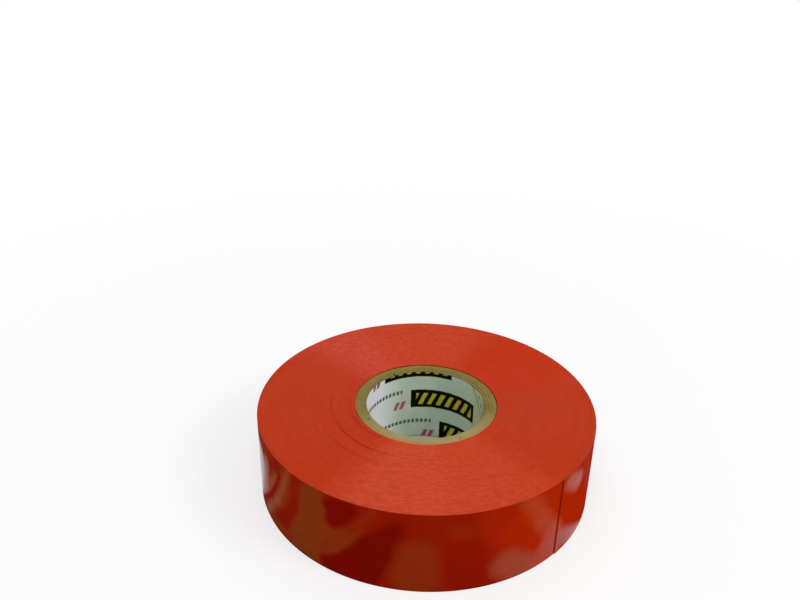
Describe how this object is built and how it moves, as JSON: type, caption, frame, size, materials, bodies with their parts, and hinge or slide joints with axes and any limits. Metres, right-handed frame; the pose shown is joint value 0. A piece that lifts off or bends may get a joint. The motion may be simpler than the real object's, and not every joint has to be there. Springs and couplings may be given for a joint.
{
  "type": "electrical tape roll",
  "caption": "Roll of red vinyl electrical tape on a paperboard core, with a free end that peels away from the roll.",
  "frame": {"origin": "on the roll's axis, in the plane of its lower end", "axes": "+Z along the roll's axis, away from the surface it lies on; +X towards the middle of the tape's free end side"},
  "size_m": [0.0743, 0.0743, 0.019],
  "materials": {
    "vinyl_tape": "red plasticised vinyl film, soft gloss on its face, matt on the wound edges",
    "paperboard": "uncoated grey-brown paperboard, cut edge",
    "printed_paper": "smooth grey-white paper with plain printed bars"
  },
  "bodies": {
    "roll": {"core_liner": "printed_paper", "core_ply_1": "paperboard", "core_ply_2": "paperboard", "core_ply_3": "paperboard", "core_ply_4": "paperboard", "tape_pack": "vinyl_tape", "tape_outer_turns": "vinyl_tape"},
    "tail_1": {"tape_tail_1": "vinyl_tape"},
    "tail_2": {"tape_tail_2": "vinyl_tape"},
    "tail_3": {"tape_tail_3": "vinyl_tape"},
    "tail_4": {"tape_tail_4": "vinyl_tape"},
    "tail_5": {"tape_tail_5": "vinyl_tape"},
    "tail_6": {"tape_tail_6": "vinyl_tape"},
    "tail_7": {"tape_tail_7": "vinyl_tape"},
    "tail_8": {"tape_tail_8": "vinyl_tape"}
  },
  "joints": [
    {"name": "peel_1", "type": "hinge", "parent": "roll", "child": "tail_1", "pos_m": [0.03709, 0.00321, 0.0095], "axis": [0, 0, 1], "range_deg": [0, 16]},
    {"name": "peel_2", "type": "hinge", "parent": "tail_1", "child": "tail_2", "pos_m": [0.03722, -0.00068, 0.0095], "axis": [0, 0, 1], "range_deg": [0, 16]},
    {"name": "peel_3", "type": "hinge", "parent": "tail_2", "child": "tail_3", "pos_m": [0.03695, -0.00457, 0.0095], "axis": [0, 0, 1], "range_deg": [0, 16]},
    {"name": "peel_4", "type": "hinge", "parent": "tail_3", "child": "tail_4", "pos_m": [0.03627, -0.00841, 0.0095], "axis": [0, 0, 1], "range_deg": [0, 16]},
    {"name": "peel_5", "type": "hinge", "parent": "tail_4", "child": "tail_5", "pos_m": [0.0352, -0.01215, 0.0095], "axis": [0, 0, 1], "range_deg": [0, 16]},
    {"name": "peel_6", "type": "hinge", "parent": "tail_5", "child": "tail_6", "pos_m": [0.03374, -0.01576, 0.0095], "axis": [0, 0, 1], "range_deg": [0, 16]},
    {"name": "peel_7", "type": "hinge", "parent": "tail_6", "child": "tail_7", "pos_m": [0.03191, -0.01921, 0.0095], "axis": [0, 0, 1], "range_deg": [0, 16]},
    {"name": "peel_8", "type": "hinge", "parent": "tail_7", "child": "tail_8", "pos_m": [0.02973, -0.02244, 0.0095], "axis": [0, 0, 1], "range_deg": [0, 16]}
  ],
  "couplings": [
    {"joint": "peel_2", "follows": "peel_1", "ratio": 1},
    {"joint": "peel_3", "follows": "peel_1", "ratio": 1},
    {"joint": "peel_4", "follows": "peel_1", "ratio": 1},
    {"joint": "peel_5", "follows": "peel_1", "ratio": 1},
    {"joint": "peel_6", "follows": "peel_1", "ratio": 1},
    {"joint": "peel_7", "follows": "peel_1", "ratio": 1},
    {"joint": "peel_8", "follows": "peel_1", "ratio": 1}
  ]
}
